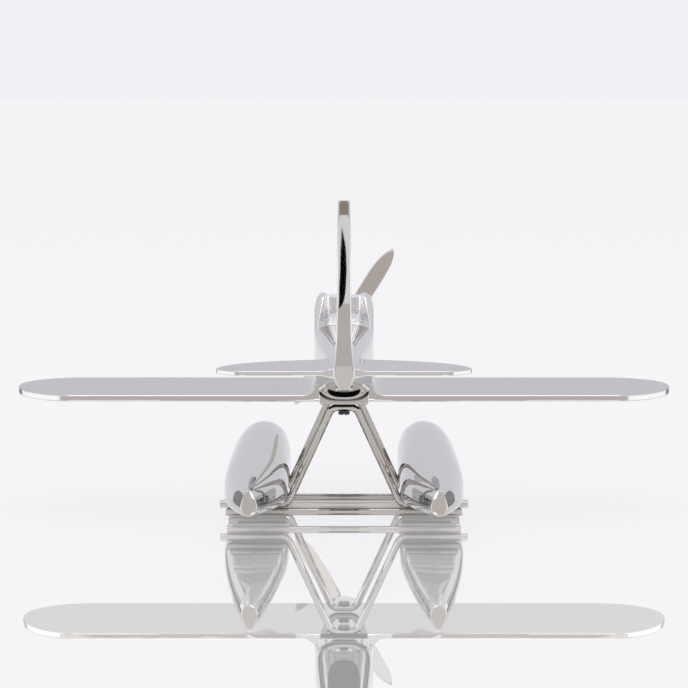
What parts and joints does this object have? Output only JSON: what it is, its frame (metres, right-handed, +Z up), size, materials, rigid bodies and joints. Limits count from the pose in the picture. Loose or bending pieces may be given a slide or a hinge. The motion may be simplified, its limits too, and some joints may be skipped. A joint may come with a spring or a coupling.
{
  "type": "desk model of a floatplane",
  "caption": "Chrome plated desk model of a low-wing racing floatplane on twin floats with bent rod struts and a free-turning propeller.",
  "frame": {"origin": "on the table under the middle of the model's box, at the height of the float bottoms", "axes": "+X towards the right wing tip, +Y towards the nose, +Z up"},
  "size_m": [0.3, 0.262, 0.1515],
  "materials": {
    "chrome": "polished plate",
    "steel_rod": "polished rod",
    "dark_screw": "blackened"
  },
  "bodies": {
    "airframe": {"fuselage": "chrome", "fin": "chrome", "wing": "chrome", "tailplane_left": "chrome", "tailplane_right": "chrome", "float_left": "chrome", "float_right": "chrome", "strut_front": "steel_rod", "strut_rear": "steel_rod", "spreader_front": "steel_rod", "spreader_rear": "steel_rod", "saddle": "chrome", "screw_front": "dark_screw", "screw_rear": "dark_screw", "propeller_shaft": "steel_rod"},
    "propeller": {"spinner": "chrome", "propeller_blade_1": "chrome", "propeller_blade_2": "chrome"}
  },
  "joints": [
    {"name": "propeller_spin", "type": "hinge", "parent": "airframe", "child": "propeller", "pos_m": [0, 0.118, 0.0723], "axis": [0, 1, 0], "continuous": true}
  ]
}
